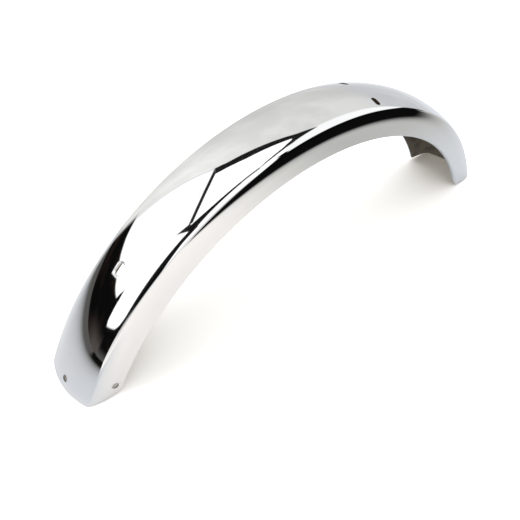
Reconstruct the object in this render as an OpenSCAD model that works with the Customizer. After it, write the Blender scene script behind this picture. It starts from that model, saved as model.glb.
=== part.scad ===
// Front mudguard for a light motorcycle: one pressed strip of sheet steel, chrome plated.
// It is an arc of constant radius about the wheel's axis, with a shallow crown, a tight bend
// along each shoulder, a skirt on each side that curves gently below the bend and then runs
// straight, and a narrow lip turned in along each skirt.
// It stands on its two ends. X runs along the wheel with the front at +X, Y is the wheel's
// axis, Z is up, and the origin is on the floor, midway between the ends.

/* [Arc] */
// Radius of the crown's outer face about the wheel's axis
crown_radius = 300; // [240:1:360]
// Angle that the arc covers on each side of its top
end_angle = 66.5; // [50:0.1:80]
// Thickness of the sheet
sheet = 1; // [0.8:0.1:1.5]

/* [Section] */
// Width across the skirts' inner edges
edge_width = 72.6; // [66:0.1:100]
// Width across the shoulders, where the crown and the straight skirts would meet
shoulder_width = 70.8; // [62:0.1:80]
// Height of the crown's middle above that corner
crown_rise = 7.6; // [5:0.1:12]
// Depth from the crown's middle to the skirts' inner edges
depth = 34.4; // [26:0.1:50]
// Outer radius of the shoulder bend
shoulder_bend = 4; // [2.5:0.1:6]
// Outer radius of the gentle curve between the bend and the straight skirt
skirt_curve = 40; // [30:1:60]
// Height of the straight skirt above its inner edge
skirt_straight = 13.5; // [10:0.5:18]
// Width of the lip turned in along each skirt
lip_width = 3.5; // [2.5:0.1:8]
// Outer radius of the lip's bend
lip_bend = 2; // [1.8:0.1:3]

/* [Ends] */
// Rise of a skirt's end edge from the shoulder to its inner corner
end_lift = 3; // [0:0.5:8]
// Rounding of a skirt's inner corner
corner_round = 10; // [4:0.5:14]

/* [Stay holes] */
// Diameter of the hole through each skirt at the rear end
stay_hole = 6.5; // [4:0.1:9]
// Distance of that hole from the skirt's inner edge
stay_inset = 9.3; // [6:0.1:16]
// Height of that hole above the floor
stay_height = 12.1; // [10:0.1:30]
// Diameter of the hole in the crown at the rear end
tail_hole = 6.5; // [4:0.1:9]
// Distance of that hole from the rear end, along the crown
tail_inset = 10.2; // [8:0.1:30]

/* [Fork bridge slots] */
// Angle of the two slots in front of the top
bridge_angle = 13.2; // [0:0.1:40]
// Distance between the slots' centres, across the crown
bridge_spacing = 42; // [20:0.5:46]
// Width of a slot
bridge_slot_width = 6.2; // [4:0.1:9]
// Length of a slot, end to end across the crown
bridge_slot_length = 10.5; // [9.5:0.1:13]

/* [Clip slot] */
// Angle of the slot behind the top, on the centre line
clip_angle = 42.4; // [25:0.1:48]
// Width of the slot
clip_slot_width = 5.5; // [4:0.1:8]
// Length of the slot, end to end along the crown
clip_slot_length = 11.5; // [9:0.1:20]
// Width of the sunk rim around the slot
clip_rim = 1.2; // [0.8:0.1:3]
// Depth to which the rim is sunk
clip_sink = 1.2; // [0.8:0.1:2.5]

/* [Hidden] */
$fn = 96;
chrome = [0.78, 0.79, 0.81];
cut_past = 2;
corner_steps = 12;
curve_steps = 6;
corner_past = 0.1;

// The wheel's axis lies below the floor by the height at which the crown's ends are cut
axle_drop = crown_radius * cos(end_angle);
edge_radius = crown_radius - depth;
corner_radius = crown_radius - crown_rise;

// In the section, the first coordinate is the distance from the wheel's axis and the second
// goes across. The crown is an arc about bow_centre, and a skirt leans out by skirt_lean.
crown_bow = (pow(shoulder_width / 2, 2) + pow(crown_rise, 2)) / (2 * crown_rise);
bow_centre = [crown_radius - crown_bow, 0];
skirt_lean = atan((edge_width - shoulder_width) / 2 / (corner_radius - edge_radius));
skirt_out = [sin(skirt_lean), cos(skirt_lean)];
skirt_down = [-cos(skirt_lean), sin(skirt_lean)];

// Distance along a line from a start point to its first crossing of a circle about the origin
function first_crossing(start, along, radius) =
    -start * along - sqrt(pow(start * along, 2) - start * start + pow(radius, 2));

// The skirt's gentle curve touches its straight outer line where that line ends
curve_end = [edge_radius, edge_width / 2] - skirt_straight * skirt_down;
curve_centre = curve_end - skirt_curve * skirt_out;

// The shoulder bend touches that curve and the crown's arc from inside: its centre is where
// two circles about their centres cross
bend_gap = curve_centre - bow_centre;
bend_from_bow = crown_bow - shoulder_bend;
bend_from_curve = skirt_curve - shoulder_bend;
bend_along = (pow(bend_from_bow, 2) - pow(bend_from_curve, 2) + bend_gap * bend_gap)
    / (2 * norm(bend_gap));
bend_aside = sqrt(pow(bend_from_bow, 2) - pow(bend_along, 2));
bend_centre = bow_centre + (bend_along * bend_gap
    + bend_aside * [-bend_gap[1], bend_gap[0]]) / norm(bend_gap);
curve_out = (bend_centre - curve_centre) / bend_from_curve;

// That curve in short straight steps that touch it, each turned by curve_turn from the last
curve_from = atan2(curve_out[1], curve_out[0]);
curve_turn = (90 - skirt_lean - curve_from) / curve_steps;

// The lip's bend touches the skirt's outer line and the circle of the inner edges
lip_level = edge_radius + lip_bend;
lip_across = shoulder_width / 2
    - (lip_bend + (lip_level - corner_radius) * sin(skirt_lean)) / cos(skirt_lean);
lip_centre = [lip_level, lip_across];

// In the side view, measured from the wheel's axis, a skirt's end edge climbs from the floor
// at the shoulder to the inner corner, which a circle about corner_centre rounds off. The
// circle reaches past the inner edge by corner_past, so that it crosses the edge.
end_foot = [sqrt(pow(corner_radius, 2) - pow(axle_drop, 2)), axle_drop];
lift_level = axle_drop + end_lift;
end_slope = atan(end_lift / (end_foot[0] - sqrt(pow(edge_radius, 2) - pow(lift_level, 2))));
end_along = [-cos(end_slope), sin(end_slope)];
end_up = [sin(end_slope), cos(end_slope)];
corner_start = end_foot + corner_round * end_up;
corner_slide = first_crossing(corner_start, end_along,
    edge_radius + corner_round - corner_past);
corner_centre = corner_start + corner_slide * end_along;

// That rounding in short straight steps, from the end edge to the inner edge
corner_from = atan2(-end_up[1], -end_up[0]);
corner_to = atan2(-corner_centre[1], -corner_centre[0]);
corner_line = [for (i = [0 : corner_steps])
    let (turn = corner_from + (corner_to - corner_from) * i / corner_steps)
    corner_centre + corner_round * [cos(turn), sin(turn)]];

// The stay hole's place, worked out from its distance to the inner edge and to the floor
stay_radius = edge_radius + stay_inset;
stay_back = sqrt(pow(stay_radius, 2) - pow(axle_drop + stay_height, 2));
tail_angle = end_angle - tail_inset / crown_radius * 180 / PI;

// Mirrors a point of the section to the other side
function across(point, side) = [point[0], side * point[1]];

// The section's outline, drawn in by inset from the outer face and filled
module filled_section(inset) {
    bend = shoulder_bend - inset;
    curve = (skirt_curve - inset) / cos(curve_turn / 2);
    lip = lip_bend - inset;
    bow = bend_centre - bow_centre;
    intersection() {
        translate(bow_centre) circle(r = crown_bow - inset, $fn = 360);
        polygon([for (reach = [[0.9, 1], [1.5, 1], [1.5, -1], [0.9, -1]])
            bow_centre + reach[0] * across(bow, reach[1])]);
    }
    for (side = [-1, 1]) {
        translate(across(bend_centre, side)) circle(r = bend);
        translate(across(lip_centre, side)) circle(r = lip);
    }
    half = concat(
        [bend_centre, bend_centre + bend * curve_out],
        [for (i = [0 : curve_steps - 1]) curve_centre
            + curve * [cos(curve_from + (i + 0.5) * curve_turn),
            sin(curve_from + (i + 0.5) * curve_turn)]],
        [lip_centre + lip * skirt_out, lip_centre - [lip, 0]]
    );
    polygon(concat(half, [for (i = [len(half) - 1 : -1 : 0]) across(half[i], -1)]));
}

// The bent sheet's section: the outline less the same outline drawn in by the sheet, open
// between the two lips
module sheet_section() {
    mouth = edge_width - 2 * lip_width;
    difference() {
        filled_section(0);
        filled_section(sheet);
        translate([edge_radius - cut_past, -mouth / 2]) square([lip_bend + cut_past, mouth]);
    }
}

// The section carried round the wheel's axis, a little past both ends
module arc() {
    spread = 2 * min(end_angle + 8, 88);
    translate([0, 0, -axle_drop]) rotate([90, 0, 0]) rotate([0, 0, 90 - spread / 2])
        rotate_extrude(angle = spread, $fn = 360) sheet_section();
}

// What is taken off under a skirt's end edge and outside its rounded corner, in side view
module end_trim() {
    inward = corner_line[corner_steps] - 3 * corner_round * corner_centre / norm(corner_centre);
    polygon(concat([end_foot - [0, depth], end_foot], corner_line,
        [inward, inward - [0, depth]]));
}

// The side view's outline of the whole guard, as a block across the wheel: all that lies
// above the floor, less the trims at the four skirt ends
module end_cutter() {
    rotate([90, 0, 0]) linear_extrude(height = 2 * edge_width, center = true) difference() {
        translate([-2 * crown_radius, 0]) square([4 * crown_radius, 2 * crown_radius]);
        for (end = [0, 1]) mirror([end, 0]) translate([0, -axle_drop]) end_trim();
    }
}

// Places its children on the crown's outer face at an angle from the top, with their own
// up pointing away from the wheel
module on_crown(angle) {
    translate([0, 0, -axle_drop]) rotate([0, angle, 0]) translate([0, 0, crown_radius])
        children();
}

// A slot's body: a plate with a round end at each side of a straight run
module slot_body(run, radius, height) {
    linear_extrude(height = height) {
        for (end = [-1, 1])
            translate([end * run / 2, 0]) circle(r = radius);
        square([run, 2 * radius], center = true);
    }
}

// The hole through both skirts at the rear end
module stay_drill() {
    translate([-stay_back, 0, stay_height]) rotate([90, 0, 0])
        cylinder(h = 2 * edge_width, d = stay_hole, center = true);
}

// The hole in the crown at the rear end
module tail_drill() {
    reach = crown_rise + sheet + cut_past;
    on_crown(-tail_angle) translate([0, 0, -reach])
        cylinder(h = reach + cut_past, d = tail_hole);
}

// The two slots over the fork bridge, each lying across the crown
module bridge_cutter() {
    radius = bridge_slot_width / 2;
    reach = crown_rise + sheet + cut_past;
    for (side = [-1, 1])
        on_crown(bridge_angle) translate([0, side * bridge_spacing / 2, -reach])
            rotate([0, 0, 90])
                slot_body(bridge_slot_length - 2 * radius, radius, reach + cut_past);
}

// The clip slot's opening, and over it the recess of its sunk rim
module clip_cutter() {
    run = clip_slot_length - clip_slot_width;
    radius = clip_slot_width / 2;
    reach = clip_sink + sheet + cut_past;
    on_crown(-clip_angle) {
        translate([0, 0, -reach]) slot_body(run, radius, reach);
        translate([0, 0, -clip_sink]) slot_body(run, radius + clip_rim, clip_sink + cut_past);
    }
}

// The sheet pressed down around the clip slot, as it shows under the crown
module clip_boss() {
    run = clip_slot_length - clip_slot_width;
    radius = clip_slot_width / 2 + clip_rim + sheet;
    on_crown(-clip_angle) translate([0, 0, -clip_sink - sheet])
        slot_body(run, radius, clip_sink + sheet / 2);
}

module mudguard_shell() {
    color(chrome) difference() {
        union() {
            intersection() {
                arc();
                end_cutter();
            }
            clip_boss();
        }
        stay_drill();
        tail_drill();
        bridge_cutter();
        clip_cutter();
    }
}

mudguard_shell();
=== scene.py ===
"""A chrome motorcycle front mudguard on a pale studio floor.

The mudguard is one strip of plated sheet steel, swept round the wheel's axis. It replaces the
CAD node mudguard_shell, in the same frame and in metres.
"""

import logging
from dataclasses import dataclass, field
from enum import Enum
from functools import reduce
from math import acos, atan2, cos, degrees, hypot, pi, radians, sin, sqrt

import bpy
import numpy as np
from mathutils import Matrix, Vector


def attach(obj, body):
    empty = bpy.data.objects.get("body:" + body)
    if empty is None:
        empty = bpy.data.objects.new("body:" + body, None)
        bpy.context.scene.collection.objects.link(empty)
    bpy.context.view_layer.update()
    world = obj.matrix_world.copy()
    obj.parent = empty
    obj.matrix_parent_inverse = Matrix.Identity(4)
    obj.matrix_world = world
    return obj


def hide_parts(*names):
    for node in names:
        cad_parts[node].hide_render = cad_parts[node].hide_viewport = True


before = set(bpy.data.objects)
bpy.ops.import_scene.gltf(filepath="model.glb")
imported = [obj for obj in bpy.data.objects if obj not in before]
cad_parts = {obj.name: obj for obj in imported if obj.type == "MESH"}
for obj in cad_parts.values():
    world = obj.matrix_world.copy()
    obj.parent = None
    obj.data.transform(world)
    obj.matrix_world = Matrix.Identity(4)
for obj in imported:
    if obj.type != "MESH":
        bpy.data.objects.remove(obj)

Socket = bpy.types.NodeSocket
log = logging.getLogger("mudguard")
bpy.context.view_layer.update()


class Face(Enum):
    """The two broad faces of the sheet."""

    OUTER = 0
    INNER = 1


@dataclass
class GuardSizes:
    """The mudguard's sizes in metres and radians, with the same names as in the CAD source."""

    crown_radius: float = 0.300
    end_angle: float = radians(66.5)
    sheet: float = 0.001
    edge_width: float = 0.0726
    shoulder_width: float = 0.0708
    crown_rise: float = 0.0076
    depth: float = 0.0344
    shoulder_bend: float = 0.004
    skirt_curve: float = 0.040
    skirt_straight: float = 0.0135
    lip_width: float = 0.0035
    lip_bend: float = 0.002
    end_lift: float = 0.003
    corner_round: float = 0.010
    stay_hole: float = 0.0065
    stay_inset: float = 0.0093
    stay_height: float = 0.0121
    tail_hole: float = 0.0065
    tail_inset: float = 0.0102
    bridge_angle: float = radians(13.2)
    bridge_spacing: float = 0.042
    bridge_slot_width: float = 0.0062
    bridge_slot_length: float = 0.0105
    clip_angle: float = radians(42.4)
    clip_slot_width: float = 0.0055
    clip_slot_length: float = 0.0115
    clip_rim: float = 0.0012
    clip_sink: float = 0.0012


@dataclass(frozen=True)
class MeshSteps:
    """How finely the mesh follows the sheet: counts of steps, lengths in metres and shares."""

    crown: int = 11
    crown_fine: float = 0.00045
    crown_fine_reach: float = 0.0082
    bend: int = 12
    skirt: int = 16
    skirt_closing: float = 1.5
    lip: int = 8
    lip_flat: int = 3
    columns: int = 250
    run_fine: float = 0.0006
    run_fine_reach: float = 0.013
    run_gap: float = 0.6
    end_share: float = 0.0012
    slot_end: int = 24
    row_gap: float = 0.01


def first_crossing(start: np.ndarray, along: np.ndarray, radius: float) -> float:
    """Distance from a point along a unit direction to a circle about the origin."""
    slope = float(start @ along)
    return -slope - sqrt(slope * slope - float(start @ start) + radius * radius)


def turn_of(ways: np.ndarray) -> np.ndarray:
    """The angles of directions from the first axis towards the second."""
    return np.arctan2(ways[..., 1], ways[..., 0])


def after_first(first: float, last: float, steps: int) -> np.ndarray:
    """Evenly spaced numbers up to the last one, without the first."""
    return np.linspace(first, last, steps + 1)[1:]


def arc(centre: np.ndarray, radius: float, angles: list | np.ndarray) -> list[np.ndarray]:
    """Points at the given angles round a centre."""
    return [centre + radius * np.array([cos(a), sin(a)]) for a in angles]


@dataclass
class Section:
    """The bent sheet's section, and how far round each of its points runs.

    A section point is (distance from the wheel's axis, distance across).
    """

    sizes: GuardSizes
    steps: MeshSteps

    def __post_init__(self) -> None:
        """Works out the centres of the bends."""
        s = self.sizes
        self.axle_drop = s.crown_radius * cos(s.end_angle)
        self.edge_radius = s.crown_radius - s.depth
        self.corner_radius = s.crown_radius - s.crown_rise
        half = s.shoulder_width / 2
        self.bow = (half**2 + s.crown_rise**2) / (2 * s.crown_rise)
        self.bow_centre = np.array([s.crown_radius - self.bow, 0.0])
        self.lean = atan2((s.edge_width - s.shoulder_width) / 2,
                          self.corner_radius - self.edge_radius)
        self.out = np.array([sin(self.lean), cos(self.lean)])
        down = np.array([-cos(self.lean), sin(self.lean)])
        curve_end = np.array([self.edge_radius, s.edge_width / 2]) - s.skirt_straight * down
        self.curve_centre = curve_end - s.skirt_curve * self.out
        # the shoulder bend touches the crown's arc and the skirt's curve from inside
        gap = self.curve_centre - self.bow_centre
        from_bow, from_curve = self.bow - s.shoulder_bend, s.skirt_curve - s.shoulder_bend
        wide = float(np.linalg.norm(gap))
        forth = (from_bow**2 - from_curve**2 + wide**2) / (2 * wide)
        aside = sqrt(from_bow**2 - forth**2)
        across = np.array([-gap[1], gap[0]])
        self.bend_centre = self.bow_centre + (forth * gap + aside * across) / wide
        level = self.edge_radius + s.lip_bend
        taper = s.lip_bend + (level - self.corner_radius) * sin(self.lean)
        self.lip_centre = np.array([level, half - taper / cos(self.lean)])
        self.crown_turn, self.curve_turn, self.skirt_turn = (
            float(turn_of(way)) for way in
            (self.bend_centre - self.bow_centre, self.bend_centre - self.curve_centre, self.out))
        self._place_end()

    def _place_end(self) -> None:
        """Works out a skirt's end edge and its rounded corner in side view."""
        s = self.sizes
        foot = np.array([sqrt(self.corner_radius**2 - self.axle_drop**2), self.axle_drop])
        level = self.axle_drop + s.end_lift
        slope = atan2(s.end_lift, foot[0] - sqrt(self.edge_radius**2 - level**2))
        along = np.array([-cos(slope), sin(slope)])
        up = np.array([sin(slope), cos(slope)])
        start = foot + s.corner_round * up
        slide = first_crossing(start, along, self.edge_radius + s.corner_round)
        self.foot, self.end_along = foot, along
        self.corner_centre = start + slide * along
        self.round_start = float(np.linalg.norm(foot + slide * along))

    def reach(self, radius: float) -> float:
        """The angle from the top at which the sheet ends, at a distance from the axis.

        Args:
            radius: The distance from the wheel's axis.

        Returns:
            The angle in radians.
        """
        if radius >= self.corner_radius:
            return acos(self.axle_drop / radius)
        if radius >= self.round_start:
            point = self.foot + first_crossing(self.foot, self.end_along, radius) * self.end_along
            return atan2(point[0], point[1])
        far = hypot(*self.corner_centre)
        turn = (radius**2 + far**2 - self.sizes.corner_round**2) / (2 * radius * far)
        return atan2(self.corner_centre[0], self.corner_centre[1]) + acos(min(turn, 1.0))

    def crown_angles(self) -> list[float]:
        """Angles about the crown's bow centre, closer together near the clip slot.

        Returns:
            The angles from the middle to the shoulder bend.
        """
        n = self.steps
        fine = np.arange(0.0, n.crown_fine_reach, n.crown_fine)
        coarse = after_first(fine[-1], self.crown_turn * self.bow, n.crown)
        return [float(a) / self.bow for a in np.concatenate([fine, coarse])]

    def half(self, face: Face) -> np.ndarray:
        """Points of one face's section, from the crown's middle to the lip's edge.

        Args:
            face: The outer or the inner face.

        Returns:
            An array of section points on the side of positive across.
        """
        s, n = self.sizes, self.steps
        inset = 0.0 if face is Face.OUTER else s.sheet
        curve, lip = s.skirt_curve - inset, s.lip_bend - inset
        points = arc(self.bow_centre, self.bow - inset, self.crown_angles())
        points += arc(self.bend_centre, s.shoulder_bend - inset,
                      after_first(self.crown_turn, self.curve_turn, n.bend))
        points += arc(self.curve_centre, curve,
                      after_first(self.curve_turn, self.skirt_turn, n.bend))
        top = self.curve_centre + curve * self.out
        bottom = self.lip_centre + lip * self.out
        # the steps close up towards the lip, where the end's rounded corner turns quickest
        for share in 1 - (1 - after_first(0, 1, n.skirt)) ** n.skirt_closing:
            points.append(top * (1 - share) + bottom * share)
        points += arc(self.lip_centre, lip, after_first(self.skirt_turn, pi, n.lip))
        level = self.lip_centre[0] - lip
        mouth = s.edge_width / 2 - s.lip_width
        for across in after_first(self.lip_centre[1], mouth, n.lip_flat):
            points.append(np.array([level, across]))
        return np.array(points)

    def whole(self, face: Face) -> np.ndarray:
        """Points of one face's section from the lip at negative across to the other lip."""
        half = self.half(face)
        return np.concatenate([half[:0:-1] * np.array([1.0, -1.0]), half])

    def normals(self, radius: np.ndarray, across: np.ndarray) -> np.ndarray:
        """Outward unit normals of the section at points on or near the sheet.

        Args:
            radius: Distances from the wheel's axis.
            across: Distances across.

        Returns:
            An array of (radial part, part across).
        """
        side = np.where(across < 0, -1.0, 1.0)
        point = np.stack([radius, np.abs(across)], 1)
        from_bow, from_bend = point - self.bow_centre, point - self.bend_centre
        from_curve, from_lip = point - self.curve_centre, point - self.lip_centre
        result = np.tile(self.out, (len(point), 1))
        turn = turn_of(from_bend)
        in_bend = (turn > self.crown_turn) & (turn <= self.curve_turn)
        result[in_bend] = from_bend[in_bend]
        turn = turn_of(from_curve)
        in_curve = (turn > self.curve_turn) & (turn < self.skirt_turn) & (from_curve[:, 0] > 0)
        result[in_curve] = from_curve[in_curve]
        on_crown = (turn_of(from_bow) <= self.crown_turn) & (point[:, 0] > self.bend_centre[0])
        result[on_crown] = from_bow[on_crown]
        low = from_lip @ np.array([-self.out[1], self.out[0]]) > 0
        result[low] = from_lip[low]
        flat = (point[:, 0] < self.lip_centre[0]) & (from_lip[:, 1] < 0)
        result[flat] = [-1.0, 0.0]
        result /= np.linalg.norm(result, axis=1, keepdims=True)
        result[:, 1] *= side
        return result


@dataclass
class Sketch:
    """A node tree under construction, with short calls for the nodes used here."""

    tree: bpy.types.NodeTree

    def node(self, kind: str, feeds: dict | None = None, **settings: object) -> bpy.types.Node:
        """Adds a node, sets its properties and feeds its inputs.

        Args:
            kind: The node's type name.
            feeds: Outputs or plain values for its inputs, by name or by number.
            **settings: Properties of the node and their values.

        Returns:
            The new node.
        """
        made = self.tree.nodes.new(kind)
        for name, value in settings.items():
            setattr(made, name, value)
        for key, value in (feeds or {}).items():
            self.feed(made.inputs[key], value)
        return made

    def feed(self, socket: Socket, value: object) -> None:
        """Links an output to a socket, or sets the socket's own value.

        Args:
            socket: The input socket.
            value: An output socket or a plain value.
        """
        if isinstance(value, Socket):
            self.tree.links.new(value, socket)
        else:
            socket.default_value = value

    def math(self, operation: str, *values: object) -> Socket:
        """Adds a Math node fed with outputs or numbers, and returns its output."""
        return self.node("ShaderNodeMath", dict(enumerate(values)), operation=operation).outputs[0]

    def product(self, *values: object) -> Socket:
        """Multiplies outputs or numbers together and returns the product."""
        return reduce(lambda first, second: self.math("MULTIPLY", first, second), values)

    def vector(self, operation: str, *values: object, out: str = "Vector") -> Socket:
        """Adds a Vector Math node fed with outputs or tuples, and returns the named output."""
        made = self.node("ShaderNodeVectorMath", dict(enumerate(values)), operation=operation)
        return made.outputs[out]

    def part(self, vector: object, axis: tuple) -> Socket:
        """Adds a dot product and returns how far a vector reaches along an axis."""
        return self.vector("DOT_PRODUCT", vector, axis, out="Value")

    def ramp(self, value: object, low: object, high: object, to: tuple = (0.0, 1.0)) -> Socket:
        """Maps a value smoothly from low..high to the pair in to, held at both ends."""
        feeds = dict(enumerate((value, low, high, *to)))
        return self.node("ShaderNodeMapRange", feeds, interpolation_type="SMOOTHSTEP").outputs[0]

    def mix(self, factor: object, first: object, second: object) -> Socket:
        """Mixes two colours by a factor and returns the colour."""
        feeds = {0: factor, 6: first, 7: second}
        return self.node("ShaderNodeMix", feeds, data_type="RGBA").outputs[2]

    def mix_numbers(self, factor: object, first: object, second: object) -> Socket:
        """Mixes two numbers by a factor and returns the number."""
        feeds = {0: factor, 2: first, 3: second}
        return self.node("ShaderNodeMix", feeds, data_type="FLOAT").outputs[0]

    def noise(self, place: object, scale: object, detail: float) -> Socket:
        """Adds a noise texture and returns its height."""
        feeds = {"Vector": place, "Scale": scale, "Detail": detail}
        return self.node("ShaderNodeTexNoise", feeds).outputs["Fac"]


def grey(level: float) -> tuple[float, float, float, float]:
    """A neutral linear colour."""
    return (level, level, level, 1.0)


def darker(colour: tuple, share: float) -> tuple:
    """A colour with its brightness taken down to a share."""
    return tuple(c * share for c in colour[:3]) + (1.0,)


@dataclass(frozen=True)
class ChromeFinish:
    """Bright chrome outside, and the duller, brownish plating inside and on the cut edges."""

    name: str = "chrome"
    bright: tuple = (0.80, 0.805, 0.81, 1.0)
    worn_share: float = 0.985
    dull: tuple = (0.22, 0.18, 0.13, 1.0)
    soiled_share: float = 0.6
    gloss: float = 0.025
    gloss_spread: float = 0.012
    dull_roughness: float = 0.24
    dull_spread: float = 0.15
    wear_scale: float = 22.0
    wear_detail: float = 3.0
    wear_edge: tuple = (0.35, 0.72)
    stain_scale: float = 60.0
    stain_detail: float = 4.0
    stain_edge: tuple = (0.4, 0.7)
    streak_stretch: tuple = (1.0, 9.0, 1.0)
    streak_closeness: float = 6.0
    streak_detail: float = 2.0
    streak_share: float = 0.04
    mark_strength: float = 0.02
    mark_depth: float = 0.001

    def scuffs(self) -> bpy.types.NodeTree:
        """Builds the node group of fine wear: an uneven mask and the height of its marks.

        Returns:
            The group, with inputs Vector and Scale and outputs Mask and Height.
        """
        tree = bpy.data.node_groups.new("fine_wear", "ShaderNodeTree")
        for name, way, kind in (("Vector", "INPUT", "Vector"), ("Scale", "INPUT", "Float"),
                                ("Mask", "OUTPUT", "Float"), ("Height", "OUTPUT", "Float")):
            tree.interface.new_socket(name, in_out=way, socket_type="NodeSocket" + kind)
        s = Sketch(tree)
        given = s.node("NodeGroupInput").outputs
        cloud = s.noise(given["Vector"], given["Scale"], self.wear_detail)
        streak = s.noise(s.vector("MULTIPLY", given["Vector"], self.streak_stretch),
                         s.product(given["Scale"], self.streak_closeness), self.streak_detail)
        height = s.math("MULTIPLY_ADD", streak, self.streak_share, cloud)
        s.node("NodeGroupOutput", {"Mask": s.ramp(cloud, *self.wear_edge), "Height": height})
        return tree

    def material(self) -> bpy.types.Material:
        """Builds the material that both faces of the sheet share.

        Returns:
            The material, which reads the attribute "inside" to choose the finish.
        """
        made = bpy.data.materials.new(self.name)
        made.use_nodes = True
        tree = made.node_tree
        shader = tree.nodes["Principled BSDF"].inputs
        s = Sketch(tree)
        inside = s.node("ShaderNodeAttribute", attribute_name="inside").outputs["Fac"]
        place = s.node("ShaderNodeTexCoord").outputs["Object"]
        wear = s.node("ShaderNodeGroup", {"Vector": place, "Scale": self.wear_scale},
                      node_tree=self.scuffs()).outputs
        stain = s.noise(place, self.stain_scale, self.stain_detail)
        clean = s.mix(wear["Mask"], self.bright, darker(self.bright, self.worn_share))
        soiled = s.mix(s.ramp(stain, *self.stain_edge), self.dull,
                       darker(self.dull, self.soiled_share))
        polish = s.math("MULTIPLY_ADD", wear["Mask"], self.gloss_spread, self.gloss)
        matt = s.math("MULTIPLY_ADD", stain, self.dull_spread, self.dull_roughness)
        bump = s.node("ShaderNodeBump", {"Strength": self.mark_strength,
                                         "Distance": self.mark_depth, "Height": wear["Height"]})
        s.feed(shader["Base Color"], s.mix(inside, clean, soiled))
        s.feed(shader["Metallic"], 1.0)
        s.feed(shader["Roughness"], s.mix_numbers(inside, polish, matt))
        s.feed(shader["Normal"], bump.outputs["Normal"])
        return made


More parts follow.
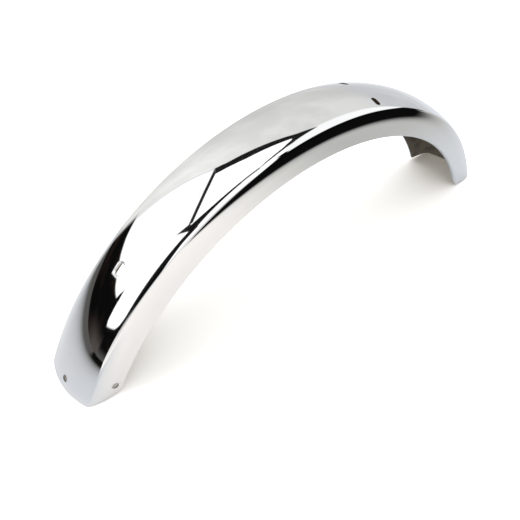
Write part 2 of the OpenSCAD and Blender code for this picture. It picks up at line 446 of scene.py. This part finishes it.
@dataclass
class MudguardShell:
    """The mudguard's one piece of sheet."""

    sizes: GuardSizes = field(default_factory=GuardSizes)
    steps: MeshSteps = field(default_factory=MeshSteps)
    finish: ChromeFinish = field(default_factory=ChromeFinish)
    cut_under: float = -0.012
    cut_over: float = 0.004
    cut_side: float = 0.05
    broad_facing: float = 0.8
    least_up: float = 0.2
    hair: float = 1e-9

    def __post_init__(self) -> None:
        """Works out the section once."""
        self.section = Section(self.sizes, self.steps)

    def runs(self) -> np.ndarray:
        """Positions round the arc as shares of the reach, closer near the clip slot.

        Returns:
            Rising numbers from -1 to 1.
        """
        s, n = self.sizes, self.steps
        middle = -s.clip_angle / s.end_angle
        length = s.crown_radius * s.end_angle
        wide = n.run_fine_reach / length
        fine = np.arange(-wide, wide + self.hair, n.run_fine / length) + middle
        coarse = np.linspace(-1, 1, n.columns)
        gap = n.run_gap * (coarse[1] - coarse[0])
        kept = coarse[(coarse < fine[0] - gap) | (coarse > fine[-1] + gap)]
        # one more column close to each end, so that the end's rounding stays crisp
        extra = np.array([-1 + n.end_share, 1 - n.end_share])
        return np.sort(np.concatenate([fine, kept, extra]))

    def flat_grid(self) -> bpy.types.Object:
        """Makes the closed grid that the geometry nodes bend into the mudguard.

        Returns:
            An object whose vertices carry radius, across, run and reach.
        """
        runs = self.runs()
        rows = np.concatenate([self.section.whole(Face.OUTER),
                               self.section.whole(Face.INNER)[::-1]])
        reach = np.array([self.section.reach(r) for r in rows[:, 0]])
        count, wide = len(rows), len(runs)
        index = np.arange(count * wide).reshape(count, wide).tolist()
        faces = []
        for i in range(count):
            here, after = index[i], index[(i + 1) % count]
            faces += zip(here[:-1], after[:-1], after[1:], here[1:])
        for column, turn in ((0, -1), (wide - 1, 1)):
            for i in range(count // 2 - 1):
                loop = (index[i][column], index[i + 1][column],
                        index[count - 2 - i][column], index[count - 1 - i][column])
                faces.append(loop[::turn])
        mesh = bpy.data.meshes.new("mudguard_grid")
        spread = np.zeros((count * wide, 3))
        spread[:, 0] = np.tile(runs, count)
        spread[:, 1] = np.repeat(np.arange(count), wide) * self.steps.row_gap
        mesh.from_pydata(spread.tolist(), [], faces)
        values = {"radius": np.repeat(rows[:, 0], wide), "across": np.repeat(rows[:, 1], wide),
                  "run": np.tile(runs, count), "reach": np.repeat(reach, wide)}
        for name, numbers in values.items():
            mesh.attributes.new(name, "FLOAT", "POINT").data.foreach_set("value", numbers)
        made = bpy.data.objects.new("mudguard", mesh)
        bpy.context.collection.objects.link(made)
        return made

    def sweep_tree(self, names: list[str]) -> bpy.types.GeometryNodeTree:
        """Builds the geometry nodes that sweep the section round the axis and sink the clip rim.

        Args:
            names: The names of its sizes.

        Returns:
            The tree, with a named input for each size and one for the material.
        """
        tree = bpy.data.node_groups.new("swept_sheet", "GeometryNodeTree")
        for name in ("Geometry", *names, "Material"):
            kind = "Float" if name in names else name
            tree.interface.new_socket(name, in_out="INPUT", socket_type="NodeSocket" + kind)
        tree.interface.new_socket("Geometry", in_out="OUTPUT", socket_type="NodeSocketGeometry")
        s = Sketch(tree)
        given = s.node("NodeGroupInput").outputs

        def carried(name: str) -> Socket:
            """Reads one of the grid's vertex attributes."""
            kind = "GeometryNodeInputNamedAttribute"
            return s.node(kind, {"Name": name}, data_type="FLOAT").outputs[0]

        radius, across = carried("radius"), carried("across")
        half_width = s.product(given["Clip Width"], 0.5)
        turn = s.product(carried("run"), carried("reach"))
        along = s.product(s.math("ADD", turn, given["Clip Angle"]), given["Crown Radius"])
        straight = s.product(given["Clip Run"], 0.5)
        beyond = s.math("MAXIMUM", s.math("SUBTRACT", s.math("ABSOLUTE", along), straight), 0.0)
        squares = s.math("ADD", s.product(beyond, beyond), s.product(across, across))
        rim = s.math("ADD", half_width, given["Clip Rim"])
        fall = s.ramp(s.math("SQRT", squares), half_width, rim, to=(given["Clip Sink"], 0.0))
        sunk = s.math("SUBTRACT", radius, fall)
        height = s.product(sunk, s.math("COSINE", turn))
        place = s.node("ShaderNodeCombineXYZ", {
            "X": s.product(sunk, s.math("SINE", turn)),
            "Y": across,
            "Z": s.math("SUBTRACT", height, given["Axle Drop"]),
        })
        bent = s.node("GeometryNodeSetPosition", {"Geometry": given["Geometry"],
                                                  "Position": place.outputs[0]})
        real = s.node("GeometryNodeRealizeInstances", {"Geometry": bent.outputs["Geometry"]})
        dressed = s.node("GeometryNodeSetMaterial", {"Geometry": real.outputs["Geometry"],
                                                     "Material": given["Material"]})
        s.node("NodeGroupOutput", {"Geometry": dressed.outputs["Geometry"]})
        return tree

    def sweep(self, grid: bpy.types.Object, material: bpy.types.Material) -> None:
        """Bends the grid with the geometry nodes and keeps the result as a plain mesh.

        Args:
            grid: The flat grid's object.
            material: The sheet's material.
        """
        s = self.sizes
        sizes = {
            "Crown Radius": s.crown_radius,
            "Axle Drop": self.section.axle_drop,
            "Clip Angle": s.clip_angle,
            "Clip Run": s.clip_slot_length - s.clip_slot_width,
            "Clip Width": s.clip_slot_width,
            "Clip Rim": s.clip_rim,
            "Clip Sink": s.clip_sink,
        }
        tree = self.sweep_tree(list(sizes))
        sizes["Material"] = material
        modifier = grid.modifiers.new("sweep", "NODES")
        modifier.node_group = tree
        for item in tree.interface.items_tree:
            if item.in_out == "INPUT" and item.name in sizes:
                modifier[item.identifier] = sizes[item.name]
        self._settle(grid)

    def _settle(self, made: bpy.types.Object) -> None:
        """Turns an object's modifiers into its plain mesh and removes them.

        Args:
            made: The object.
        """
        graph = bpy.context.evaluated_depsgraph_get()
        mesh = bpy.data.meshes.new_from_object(made.evaluated_get(graph))
        made.modifiers.clear()
        made.data = mesh

    def on_crown(self, angle: float, across: float = 0.0) -> Matrix:
        """The frame on the crown at an angle from the top, with its Z pointing outwards."""
        turn = Matrix.Translation((0, 0, -self.section.axle_drop)) @ Matrix.Rotation(angle, 4, "Y")
        return turn @ Matrix.Translation((0, across, self.sizes.crown_radius))

    def slot_prism(self, place: Matrix, width: float, length: float, low: float, high: float,
                   turned: bool = False) -> tuple[list[Vector], list[tuple[int, ...]]]:
        """A prism with round ends, which cuts a slot or, where both sizes agree, a hole.

        Args:
            place: The frame that it stands in.
            width: The slot's width.
            length: The slot's length, end to end.
            low: The prism's lowest level in that frame.
            high: Its highest level.
            turned: Whether its length runs along Y in place of X.

        Returns:
            The prism's points and faces.
        """
        ring = []
        steps = self.steps.slot_end
        for side in (1, -1):
            # the two ends of a round hole meet, and their shared points are left out
            for k in range(steps if length <= width else steps + 1):
                a = -side * pi / 2 + pi * k / steps
                x = side * (length - width) / 2 + width / 2 * cos(a)
                y = width / 2 * sin(a)
                ring.append((-y, x) if turned else (x, y))
        count = len(ring)
        points = [place @ Vector((x, y, level)) for level in (low, high) for x, y in ring]
        faces = [(k, (k + 1) % count, count + (k + 1) % count, count + k) for k in range(count)]
        faces.append(tuple(range(count - 1, -1, -1)))
        faces.append(tuple(range(count, 2 * count)))
        return points, faces

    def cut_holes(self, made: bpy.types.Object) -> None:
        """Cuts every hole and slot through the sheet.

        Args:
            made: The swept mudguard's object.
        """
        s, c = self.sizes, self.section
        stay_radius = c.edge_radius + s.stay_inset
        back = sqrt(stay_radius**2 - (c.axle_drop + s.stay_height) ** 2)
        stay = Matrix.Translation((-back, 0, s.stay_height)) @ Matrix.Rotation(-pi / 2, 4, "X")
        tail = self.on_crown(-(s.end_angle - s.tail_inset / s.crown_radius))
        clip = self.on_crown(-s.clip_angle)
        under, over = self.cut_under, self.cut_over
        parts = [
            self.slot_prism(stay, s.stay_hole, s.stay_hole, -self.cut_side, self.cut_side),
            self.slot_prism(tail, s.tail_hole, s.tail_hole, under, over),
            self.slot_prism(clip, s.clip_slot_width, s.clip_slot_length, under, over),
        ]
        for side in (-1, 1):
            place = self.on_crown(s.bridge_angle, side * s.bridge_spacing / 2)
            parts.append(self.slot_prism(place, s.bridge_slot_width, s.bridge_slot_length,
                                         under, over, turned=True))
        points, faces = [], []
        for some, rings in parts:
            faces += [tuple(i + len(points) for i in ring) for ring in rings]
            points += [tuple(p) for p in some]
        mesh = bpy.data.meshes.new("cutter")
        mesh.from_pydata(points, [], faces)
        cutter = bpy.data.objects.new("cutter", mesh)
        bpy.context.collection.objects.link(cutter)
        modifier = made.modifiers.new("holes", "BOOLEAN")
        modifier.operation = "DIFFERENCE"
        modifier.solver = "EXACT"
        modifier.object = cutter
        self._settle(made)
        bpy.data.objects.remove(cutter)

    def polar(self, points: np.ndarray) -> tuple[np.ndarray, np.ndarray]:
        """The points' angles from the top and their distances from the wheel's axis."""
        height = points[:, 2] + self.section.axle_drop
        return np.arctan2(points[:, 0], height), np.hypot(points[:, 0], height)

    def true_normals(self, points: np.ndarray) -> np.ndarray:
        """Outward normals of the sheet's outer face at points on or near the sheet.

        Args:
            points: Points in the shared frame.

        Returns:
            An array of unit normals.
        """
        s = self.sizes
        turn, radius = self.polar(points)
        flat = self.section.normals(radius, points[:, 1])
        normal = np.stack([flat[:, 0] * np.sin(turn), flat[:, 1], flat[:, 0] * np.cos(turn)], 1)
        # the rim sinks along a smooth step, whose slope is that of 3 share^2 - 2 share^3
        along = (turn + s.clip_angle) * s.crown_radius
        beyond = np.maximum(np.abs(along) - (s.clip_slot_length - s.clip_slot_width) / 2, 0.0)
        away = np.hypot(beyond, points[:, 1])
        share = np.clip((away - s.clip_slot_width / 2) / s.clip_rim, 0, 1)
        fall = -s.clip_sink * 6 * share * (1 - share) / s.clip_rim
        away = np.maximum(away, self.hair)
        dip = (np.abs(fall) > self.hair) & (radius > self.section.corner_radius)
        tangent = np.stack([np.cos(turn), np.zeros_like(turn), -np.sin(turn)], 1)
        steep = fall * beyond / away * np.sign(along)
        tilted = normal / flat[:, :1].clip(self.least_up, None) + steep[:, None] * tangent
        tilted[:, 1] += fall * points[:, 1] / away
        normal[dip] = tilted[dip]
        return normal / np.linalg.norm(normal, axis=1, keepdims=True)

    def shade(self, made: bpy.types.Object) -> None:
        """Gives the mesh the sheet's exact normals, a map along the strip and its inside mask.

        Args:
            made: The cut mudguard's object.
        """
        mesh = made.data
        mesh.shade_smooth()
        plain = np.array([face.normal for face in mesh.polygons])
        centres = np.array([face.center for face in mesh.polygons])
        points = np.array([point.co for point in mesh.vertices])
        corner = np.array([loop.vertex_index for loop in mesh.loops])
        owner = np.repeat(np.arange(len(plain)), [face.loop_total for face in mesh.polygons])
        facing = (self.true_normals(centres) * plain).sum(1)
        broad = np.abs(facing) > self.broad_facing
        exact = self.true_normals(points)[corner] * np.sign(facing)[owner][:, None]
        normals = np.where(broad[owner][:, None], exact, plain[owner])
        mesh.normals_split_custom_set(normals.tolist())
        turn, radius = self.polar(points)
        side = np.where(points[:, 1] < 0, -1.0, 1.0)
        over = np.abs(points[:, 1]) + np.maximum(self.section.corner_radius - radius, 0.0)
        chart = np.stack([turn * self.sizes.crown_radius, side * over], 1)
        layer = mesh.uv_layers.new(name="strip")
        layer.data.foreach_set("uv", chart[corner].astype(np.float32).ravel())
        # the sheet's cut edges have the inner face's finish
        inside = (~broad | (facing < 0)).astype(np.float32)
        mesh.attributes.new("inside", "FLOAT", "FACE").data.foreach_set("value", inside)
        for name in ("radius", "across", "run", "reach"):
            mesh.attributes.remove(mesh.attributes[name])

    def build(self) -> None:
        """Builds and dresses the mudguard."""
        made = self.flat_grid()
        self.sweep(made, self.finish.material())
        self.cut_holes(made)
        self.shade(made)
        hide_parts("mudguard_shell")
        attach(made, "root")
        log.info("mudguard: %d faces", len(made.data.polygons))


def on_chart(right: float, up: float) -> Vector:
    """A direction by its place on a round chart of the room, in degrees from overhead."""
    turn, fall = atan2(right, up), radians(hypot(right, up))
    return Vector((sin(fall) * sin(turn), sin(fall) * cos(turn), cos(fall)))


@dataclass(frozen=True)
class Edge:
    """A soft edge across the room, along a way through two places on the round chart.

    Its mask is 1 on the left of that way. The edge is a straight line on the chart or, where
    great is set, a great circle. Its softness is an angle in degrees.
    """

    first: tuple
    second: tuple
    soft: float = 1.0
    great: bool = False


@dataclass(frozen=True)
class Patch:
    """One flat patch of the room, such as a panel or a bar, as the chrome sees it.

    Its corners run anticlockwise. The softness is one for all edges, or one for each, and great
    goes to all of them.
    """

    corners: tuple
    level: float
    soft: float | tuple = 1.0
    great: bool = False

    def edges(self) -> list[Edge]:
        """The edges round the patch.

        Returns:
            One edge from each corner to the next.
        """
        softs = self.soft if isinstance(self.soft, tuple) else (self.soft,) * len(self.corners)
        ends = self.corners[1:] + self.corners[:1]
        return [Edge(*edge, self.great) for edge in zip(self.corners, ends, softs)]


@dataclass
class Room:
    """The room that the chrome mirrors: pale walls, bright panels, dark bars and a dark side.

    Places are in degrees on the round chart, whose middle is overhead, whose right is +X and
    whose top is +Y.
    """

    far_panel: Patch = Patch(((-3.5, 35.5), (-20, 75), (-92, 40), (-92, -5), (0, -1)), 1.4, 1.5,
                             great=True)
    top_panel: Patch = Patch(((-36, -3), (13.5, -2), (27.5, 9.2), (-4.8, 31.2), (-30.2, 5.8)),
                             1.6, 1.0)
    low_panel: Patch = Patch(((20, -28), (70, -13), (77, 17), (30, 9.5), (16, 2.6)), 1.2,
                             (14.0, 4.0, 2.0, 1.5, 1.5), great=True)
    back_panel: Patch = Patch(((-36, -64), (14, -64), (12.5, 1), (-35, 1)), 1.3,
                              (24.0, 2.5, 1.0, 3.0), great=True)
    bars: tuple = (
        Patch(((-29.6, 6.2), (-27.2, 5.0), (-5.5, 30.6), (-3.4, 36.5)), 0.02, 0.8),
        Patch(((-6.0, 30.2), (-4.5, 28.6), (1.5, 27.0), (0.0, 32.4), (-3.4, 36.8)), 0.02, 0.8),
        Patch(((-4.6, 28.6), (5.0, 20.0), (23.6, 9.8), (27.5, 11.5), (-1.5, 33.2)), 0.014, 0.7),
        Patch(((22.6, 5.8), (34.8, 9.5), (24.5, 13.2), (22.6, 10.2)), 0.014, 0.7),
        Patch(((2.0, 0.5), (11.0, 2.2), (18.0, 4.3), (17.0, 5.9), (8.0, 2.9)), 0.02, 0.5),
        Patch(((15.0, 3.3), (23.0, 5.6), (23.6, 9.9), (17.0, 5.9)), 0.02, 0.5),
        Patch(((-10.0, 0.0), (5.0, 0.5), (5.0, 1.9), (-10.0, 1.9)), 0.06, 0.4),
        Patch(((-34.6, 9.8), (-30.8, 0.8), (-28.0, 1.5), (-28.6, 6.6)), 0.02, 0.8),
        Patch(((-31.0, -2.9), (-18.0, -0.9), (-18.0, 2.1), (-31.0, 5.0)), 0.012, 0.7),
        Patch(((-20.0, -1.2), (-4.0, 0.0), (-4.0, 1.6), (-20.0, 2.5)), 0.012, 0.6),
        Patch(((-76.0, -3.2), (-27.0, -3.2), (-27.0, 1.0), (-76.0, 1.7)), 0.01, 0.8),
        Patch(((-3.4, 36), (-20.2, 74.6), (-21.2, 74.2), (-4.2, 35.6)), 0.80, 0.8, great=True),
    )
    window: Patch = Patch(((-17.5, 78.5), (-30.7, 70.7), (-41.3, 61.3), (-50.5, 50.5), (-60, 38),
                           (-64.3, 29.3), (-66, 23.4), (80, 23.4), (80, 78.5)), 1.0, 1.4)
    low_window: Patch = Patch(((-76.3, 21.5), (-77, 14), (-76.7, 7.5), (-74.7, 3.8), (-70.5, 1.5),
                               (-40, -9), (90, -9), (90, 23.6), (-73.8, 23.6)), 1.0, 1.3)
    window_bump: Patch = Patch(((-45.8, 57.6), (-50.4, 57.2), (-53.2, 50.6), (-56, 42), (-46, 50)),
                               1.0, 1.0)
    spike: Patch = Patch(((-66, 23.3), (-58.6, 23.8), (-63.2, 27.4), (-66, 32)), 1.0, 0.9)
    middle_left: Edge = Edge((-80, 0), (-1, 0), great=True)
    middle_right: Edge = Edge((12, -0.5), (72, 11), great=True)
    wall_edge: Edge = Edge((-92, 2), (1, 0), 4.0, great=True)
    dark_left: tuple = (Edge((-20, -87), (-66, -42), 20.0, great=True),
                        Edge((-66, -42), (-88, 1.3), 16.0, great=True))
    dark_east: Edge = Edge((8, 80), (8, -80), 30.0)
    dark_limit: Edge = Edge((97, -46), (74, 9.3), 6.0, great=True)
    arc_limit: Edge = Edge((-17.5, 76), (-23, 92), 8.0)
    brown_edges: tuple = (Edge((-94, 21), (-70, 16), 5.0), Edge((-60, 45), (-84, 42), 26.0))
    brown_rise: tuple = (0.15, 0.0)
    brown: tuple = (0.10, 0.083, 0.077, 1.0)
    dim_edges: tuple = (Edge((-70, 34), (-92, 26), 12.0), Edge((-20, 20), (-60, 78), 30.0))
    dim_rise: tuple = (0.07, -0.01)
    dim: tuple = (0.105, 0.105, 0.10, 1.0)
    black: float = 0.003
    gloom_base: float = 0.004
    gloom_faint: tuple = (0.018, 0.011, 0.009, 1.0)
    gloom_cloud: tuple = ((1.0, 1.0, 3.0), 3.0)
    gloom_cover: tuple = (0.5, 0.75)
    wall_near: tuple = (1.12, 1.12, 1.08, 1.0)
    wall_mid: tuple = (0.87, 0.865, 0.85, 1.0)
    wall_mid_span: tuple = (-8.0, 34.0)
    wall_far: tuple = (0.80, 0.815, 0.85, 1.0)
    wall_far_span: tuple = (58.0, 76.0)
    side_wall: tuple = (1.0, 0.98, 0.975, 1.0)
    side_span: tuple = (10.0, 70.0)
    fold_cloud: tuple = ((3.2, 1.1, 1.6), 1.9)
    fold_cover: tuple = (0.34, 0.66)
    fold_levels: tuple = (0.90, 1.02)
    low_rise: tuple = (0.17, 0.62)
    low_levels: tuple = (0.90, 1.01)
    cloud_detail: float = 2.5
    light_map: int = 1024

    def build(self) -> None:
        """Builds the world's nodes."""
        world = bpy.data.worlds.new("room")
        bpy.context.scene.world = world
        world.use_nodes = True
        tree = world.node_tree
        tree.nodes.clear()
        s = self.sketch = Sketch(tree)
        self.ray = s.node("ShaderNodeTexCoord").outputs["Generated"]
        self.rise = s.part(self.ray, (0.0, 0.0, 1.0))
        flat = s.vector("NORMALIZE", s.vector("MULTIPLY", self.ray, (1.0, 1.0, 0.0)))
        fall = s.product(s.math("ARCCOSINE", self.rise), degrees(1))
        self.chart = s.vector("MULTIPLY", flat, fall)
        self.right = s.part(self.chart, (1.0, 0.0, 0.0))
        by_camera = s.node("ShaderNodeLightPath").outputs["Is Camera Ray"]
        colour = s.mix(by_camera, self.seen(), grey(1.0))
        light = s.node("ShaderNodeBackground", {"Color": colour})
        s.node("ShaderNodeOutputWorld", {"Surface": light.outputs[0]})
        world.cycles.sampling_method = "MANUAL"
        world.cycles.sample_map_resolution = self.light_map
        log.info("room: %d nodes", len(tree.nodes))

    def seen(self) -> Socket:
        """Builds everything that the chrome sees above the floor.

        Returns:
            The room's colour.
        """
        s = self.sketch
        side = s.mix(s.ramp(self.right, *self.side_span), self.side_wall, self.wall_far)
        colour = s.mix(self.beside(self.wall_edge), side, self.wall())
        colour = self.paint(colour, self.far_panel, self.top_panel)
        colour = s.mix(self.dark_side(), colour, grey(self.black))
        colour = self.paint(colour, self.low_panel, self.back_panel, *self.bars)
        return s.mix(self.dark_arc(), colour, self.gloom())

    def beside(self, edge: Edge) -> Socket:
        """The mask of the room on the left of an edge.

        Args:
            edge: The edge.

        Returns:
            The mask.
        """
        first, second = edge.first, edge.second
        if edge.great:
            normal = on_chart(*first).cross(on_chart(*second)).normalized()
            half = sin(radians(edge.soft)) / 2
            return self.sketch.ramp(self.sketch.part(self.ray, tuple(normal)), -half, half)
        step = hypot(second[0] - first[0], second[1] - first[1])
        across = ((first[1] - second[1]) / step, (second[0] - first[0]) / step, 0.0)
        start = first[0] * across[0] + first[1] * across[1]
        level = self.sketch.part(self.chart, across)
        return self.sketch.ramp(level, start - edge.soft / 2, start + edge.soft / 2)

    def inside(self, *edges: Edge) -> Socket:
        """The mask of the room on the left of every edge."""
        return self.sketch.product(*map(self.beside, edges))

    def either(self, *masks: Socket) -> Socket:
        """The mask of the room that any of several masks covers."""
        return reduce(lambda first, second: self.sketch.math("MAXIMUM", first, second), masks)

    def beyond(self, mask: Socket) -> Socket:
        """The reverse of a mask."""
        return self.sketch.math("SUBTRACT", 1.0, mask)

    def paint(self, colour: Socket, *patches: Patch) -> Socket:
        """Lays patches over the room, one after another.

        Args:
            colour: The room's colour so far.
            *patches: The patches.

        Returns:
            The new colour.
        """
        for patch in patches:
            colour = self.sketch.mix(self.inside(*patch.edges()), colour, grey(patch.level))
        return colour

    def cloud(self, stretch: tuple, scale: float) -> Socket:
        """Soft uneven patches over the room, closer together along the stretched axes."""
        place = self.sketch.vector("MULTIPLY", self.ray, stretch)
        return self.sketch.noise(place, scale, self.cloud_detail)

    def wall(self) -> Socket:
        """The pale far wall with its soft folds, darker low down and a little bluish far right.

        Returns:
            The wall's colour.
        """
        s = self.sketch
        plain = s.mix(s.ramp(self.right, *self.wall_mid_span), self.wall_near, self.wall_mid)
        plain = s.mix(s.ramp(self.right, *self.wall_far_span), plain, self.wall_far)
        folds = s.ramp(self.cloud(*self.fold_cloud), *self.fold_cover, to=self.fold_levels)
        low = s.ramp(self.rise, *self.low_rise, to=self.low_levels)
        return s.vector("MULTIPLY", plain, s.product(folds, low))

    def gloom(self) -> Socket:
        """The dark band's own colour: near black, a little grey and brown low down.

        Returns:
            The colour.
        """
        s = self.sketch
        cover = s.ramp(self.cloud(*self.gloom_cloud), *self.gloom_cover)
        faint = s.mix(cover, grey(self.gloom_base), self.gloom_faint)
        dim = s.product(s.ramp(self.rise, *self.dim_rise), self.inside(*self.dim_edges))
        brown = s.product(s.ramp(self.rise, *self.brown_rise), self.inside(*self.brown_edges))
        return s.mix(brown, s.mix(dim, faint, self.dim), self.brown)

    def dark_side(self) -> Socket:
        """The unlit side behind the camera.

        Returns:
            Its mask.
        """
        south = self.either(self.beyond(self.beside(self.middle_left)),
                            self.beyond(self.beside(self.middle_right)))
        left = self.sketch.product(*(self.beyond(self.beside(edge)) for edge in self.dark_left))
        wide = self.either(left, self.beside(self.dark_east))
        return self.sketch.product(south, wide, self.beside(self.dark_limit))

    def dark_arc(self) -> Socket:
        """The dark band low down on the far left, with the notch in it.

        Returns:
            Its mask.
        """
        patches = (self.window, self.low_window, self.window_bump)
        bright = self.either(*(self.inside(*patch.edges()) for patch in patches))
        bright = self.sketch.product(bright, self.beyond(self.inside(*self.spike.edges())))
        return self.sketch.product(self.beyond(bright),
                                   self.inside(self.middle_left, self.arc_limit))


@dataclass(frozen=True)
class Rise:
    """A mask over the floor that rises from start to end.

    It follows the distance along the direction (x, y), or, where it is round, the distance from
    the place (x, y). Distances are in metres.
    """

    x: float
    y: float
    start: float
    end: float
    round: bool = False

    def mask(self, s: Sketch, place: Socket) -> Socket:
        """Builds the mask.

        Args:
            s: The sketch of the floor's material.
            place: The floor's own coordinates.

        Returns:
            The mask.
        """
        spot = (self.x, self.y, 0.0)
        if self.round:
            way = s.vector("LENGTH", s.vector("SUBTRACT", place, spot), out="Value")
        else:
            way = s.part(place, spot)
        return s.ramp(way, self.start, self.end)


@dataclass
class Studio:
    """The floor with its painted reflections, the room's light and the camera."""

    camera_place: tuple = (-0.335176, -0.329061, 0.449470)
    forward: tuple = (0.46533832, 0.53732255, -0.70338092)
    right: tuple = (0.76953912, -0.63823598, 0.02154943)
    lens: float = 40.976
    sensor: float = 36.0
    floor_half: float = 6.0
    floor_levels: tuple = (0.80, 0.82)
    speck_scale: float = 3.0
    speck_detail: float = 2.0
    floor_gain: float = 1.38
    floor_glow: float = 0.15
    glow_tint: tuple = (1.06, 1.0, 0.88, 1.0)
    mirror_share: float = 0.8
    mirror_glow: float = 0.35
    # painted reflection: the colours and masks below are painted light and painted shade on the
    # floor, seen only by the chrome's mirror rays
    cream: tuple = (1.08, 1.045, 1.01, 1.0)
    # painted shade: the darker grey that the chrome shows of the floor on the +X side
    painted_shade_grey: tuple = (0.55, 0.55, 0.53, 1.0)
    painted_shade_side: tuple = (Rise(1.0, 0.0, -0.07, 0.22),)
    cool: tuple = (0.76, 0.79, 0.83, 1.0)
    right_end: tuple = (Rise(1.0, 0.0, 0.15, 0.26), Rise(0.0, 1.0, -0.20, -0.04))
    left_end: tuple = (Rise(-1.0, 0.0, 0.22, 0.30), Rise(0.0, 1.0, -0.22, -0.10))
    shaded: tuple = (0.74, 0.755, 0.785, 1.0)
    shaded_end: tuple = (Rise(-1.0, 0.0, 0.22, 0.30), Rise(0.0, 1.0, -0.03, 0.05))
    bright: float = 1.05
    bright_far: tuple = (Rise(0.0, 1.0, 0.02, 0.10), Rise(0.99, 0.16, -0.30, -0.18),
                         Rise(-0.76, 0.65, -0.30, 0.0))
    pale: tuple = (0.66, 0.665, 0.68, 1.0)
    pale_distance: tuple = (Rise(0.0, 0.0, 0.3, 1.6, True), Rise(0.0, 1.0, 0.05, 0.4))
    # painted shade: the dark grey that the chrome shows of the floor far to the left
    painted_dark_grey: tuple = (0.105, 0.102, 0.097, 1.0)
    painted_dark_left: tuple = (Rise(-0.27, 0.0, -0.08, 0.78, True), Rise(0.0, 1.0, -0.20, -0.05),
                        Rise(-1.0, -0.23, 0.20, 0.33))
    black: float = 0.004
    near_wedge: tuple = (Rise(-0.27, 0.0, 0.5, 0.95, True), Rise(-0.28, -1.0, -0.02, 0.10))
    far_wedge: tuple = (Rise(-0.27, 0.0, 1.5, 5.0, True), Rise(0.8, 1.0, 0.0, 2.0))
    black_front: tuple = (Rise(0.69, -0.725, 0.36, 0.60), Rise(-0.34, -0.94, -0.04, 0.10),
                          Rise(1.0, 0.0, -0.22, -0.06))

    def floor_material(self) -> bpy.types.Material:
        """The floor: white to the camera, with the shadow on it; to the chrome it shows painted
        reflections of painted light and painted shade.

        Returns:
            The material, which is clear from below.
        """
        made = bpy.data.materials.new("floor_white")
        made.use_nodes = True
        tree = made.node_tree
        tree.nodes.clear()
        s = Sketch(tree)
        place = s.node("ShaderNodeTexCoord").outputs["Object"]
        path = s.node("ShaderNodeLightPath").outputs
        mirrored = path["Is Glossy Ray"]
        shown = s.math("MAXIMUM", path["Is Camera Ray"], path["Is Transmission Ray"])
        speck = s.noise(place, self.speck_scale, self.speck_detail)
        base = s.mix(speck, *map(grey, self.floor_levels))
        base = s.mix(shown, base, grey(self.floor_gain))
        # painted reflection: the floor's colours for the chrome's mirror rays, painted light and
        # painted shade
        seen = self.painted_reflection(s, place)
        cloth_seen = s.vector("MULTIPLY", seen, (self.mirror_share,) * 3)
        cloth = s.node("ShaderNodeBsdfDiffuse", {"Color": s.mix(mirrored, base, cloth_seen)})
        strength = s.math("MULTIPLY_ADD", shown, self.floor_glow,
                          s.product(mirrored, self.mirror_glow))
        glow = s.node("ShaderNodeEmission", {"Color": s.mix(mirrored, self.glow_tint, seen),
                                             "Strength": strength})
        both = s.node("ShaderNodeAddShader", {0: cloth.outputs[0], 1: glow.outputs[0]})
        clear = s.node("ShaderNodeBsdfTransparent")
        below = s.node("ShaderNodeNewGeometry").outputs["Backfacing"]
        sided = s.node("ShaderNodeMixShader", dict(enumerate(
            (below, both.outputs[0], clear.outputs[0]))))
        s.node("ShaderNodeOutputMaterial", {"Surface": sided.outputs[0]})
        return made

    def painted_reflection(self, s: Sketch, place: Socket) -> Socket:
        """The painted reflection that the chrome shows of the floor: painted light, cream and pale
        grey, falling off into painted shade and black.

        Args:
            s: The sketch of the floor's material.
            place: The floor's own coordinates.

        Returns:
            The colour.
        """
        def where(masks: tuple) -> Socket:
            """The product of several masks on the floor."""
            return s.product(*(rise.mask(s, place) for rise in masks))

        # painted shade on the +X side of the floor, painted light elsewhere
        colour = s.mix(where(self.painted_shade_side), self.cream, self.painted_shade_grey)
        # painted reflection tints: cooler grey at both ends, painted shade at the left end,
        # brighter far off and paler with distance
        ends = s.math("MAXIMUM", where(self.left_end), where(self.right_end))
        colour = s.mix(ends, colour, self.cool)
        colour = s.mix(where(self.shaded_end), colour, self.shaded)
        colour = s.mix(where(self.bright_far), colour, grey(self.bright))
        colour = s.mix(where(self.pale_distance), colour, self.pale)
        # painted shade: dark grey on the far left, with painted black wedges and a painted black
        # front
        left = where(self.painted_dark_left)
        wedge = s.math("MAXIMUM", where(self.near_wedge), where(self.far_wedge))
        black = s.math("MAXIMUM", s.product(wedge, left), where(self.black_front))
        return s.mix(black, s.mix(left, colour, self.painted_dark_grey), grey(self.black))

    def floor(self) -> None:
        """Lays the floor at the level that the mudguard stands on."""
        h = self.floor_half
        mesh = bpy.data.meshes.new("floor")
        mesh.from_pydata([(-h, -h, 0), (h, -h, 0), (h, h, 0), (-h, h, 0)], [], [(0, 1, 2, 3)])
        mesh.materials.append(self.floor_material())
        made = bpy.data.objects.new("floor", mesh)
        bpy.context.collection.objects.link(made)

    def camera(self) -> None:
        """Places the camera at the photograph's viewpoint."""
        data = bpy.data.cameras.new("camera")
        data.sensor_width = self.sensor
        data.lens = self.lens
        made = bpy.data.objects.new("camera", data)
        bpy.context.collection.objects.link(made)
        back = -Vector(self.forward).normalized()
        right = Vector(self.right).normalized()
        up = back.cross(right)
        turn = Matrix((right, up, back)).transposed().to_4x4()
        made.matrix_world = Matrix.Translation(self.camera_place) @ turn
        bpy.context.scene.camera = made

    def build(self) -> None:
        """Builds the stage."""
        self.floor()
        Room().build()
        self.camera()
        bpy.context.scene.view_settings.view_transform = "Standard"
        log.info("studio: floor, room and camera")


def main() -> None:
    """Builds the mudguard and its stage."""
    logging.basicConfig(level=logging.INFO, format="%(name)s: %(message)s")
    MudguardShell().build()
    Studio().build()


if __name__ == "__main__":
    main()
